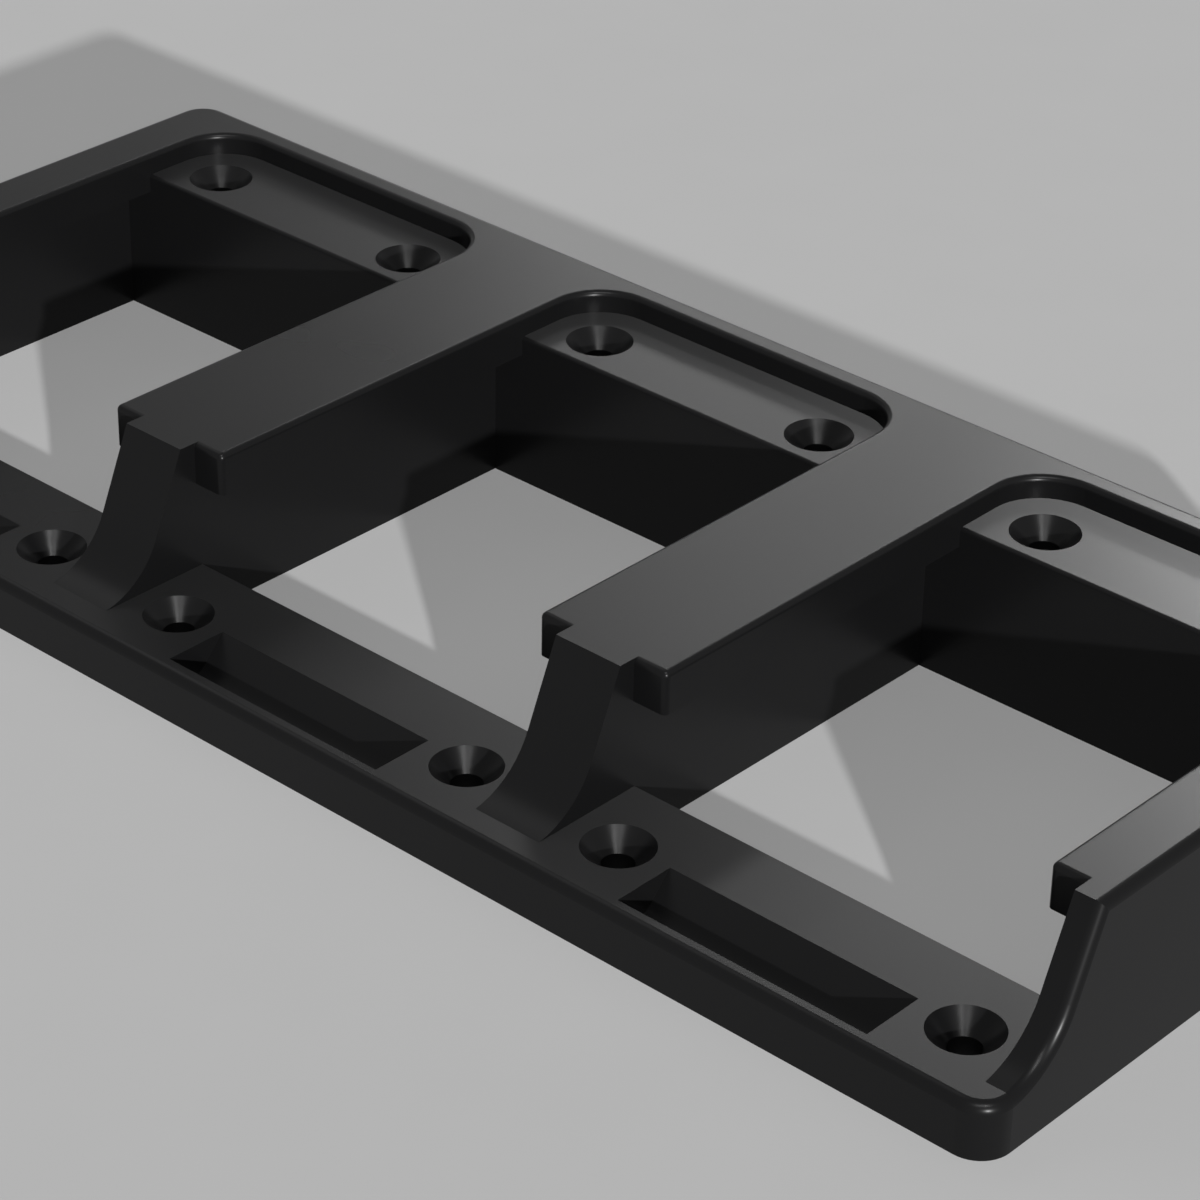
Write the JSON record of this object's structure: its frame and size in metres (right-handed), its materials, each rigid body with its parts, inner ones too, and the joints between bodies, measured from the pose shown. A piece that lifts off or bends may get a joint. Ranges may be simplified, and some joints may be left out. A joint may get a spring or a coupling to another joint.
{
  "type": "battery wall mount",
  "caption": "Moulded wall mount with side-by-side T-slot bays for slide-in battery packs, a swept front, latch pockets and countersunk screw holes.",
  "frame": {"origin": "middle of the flat wall face, halfway along the row and halfway between the open and the closed end", "axes": "+X along the row of bays, +Y towards the closed end, +Z out of the wall"},
  "size_m": [0.2288, 0.097, 0.0259],
  "materials": {
    "body": "satin"
  },
  "bodies": {
    "root": {"mount_body": "body"}
  },
  "joints": []
}
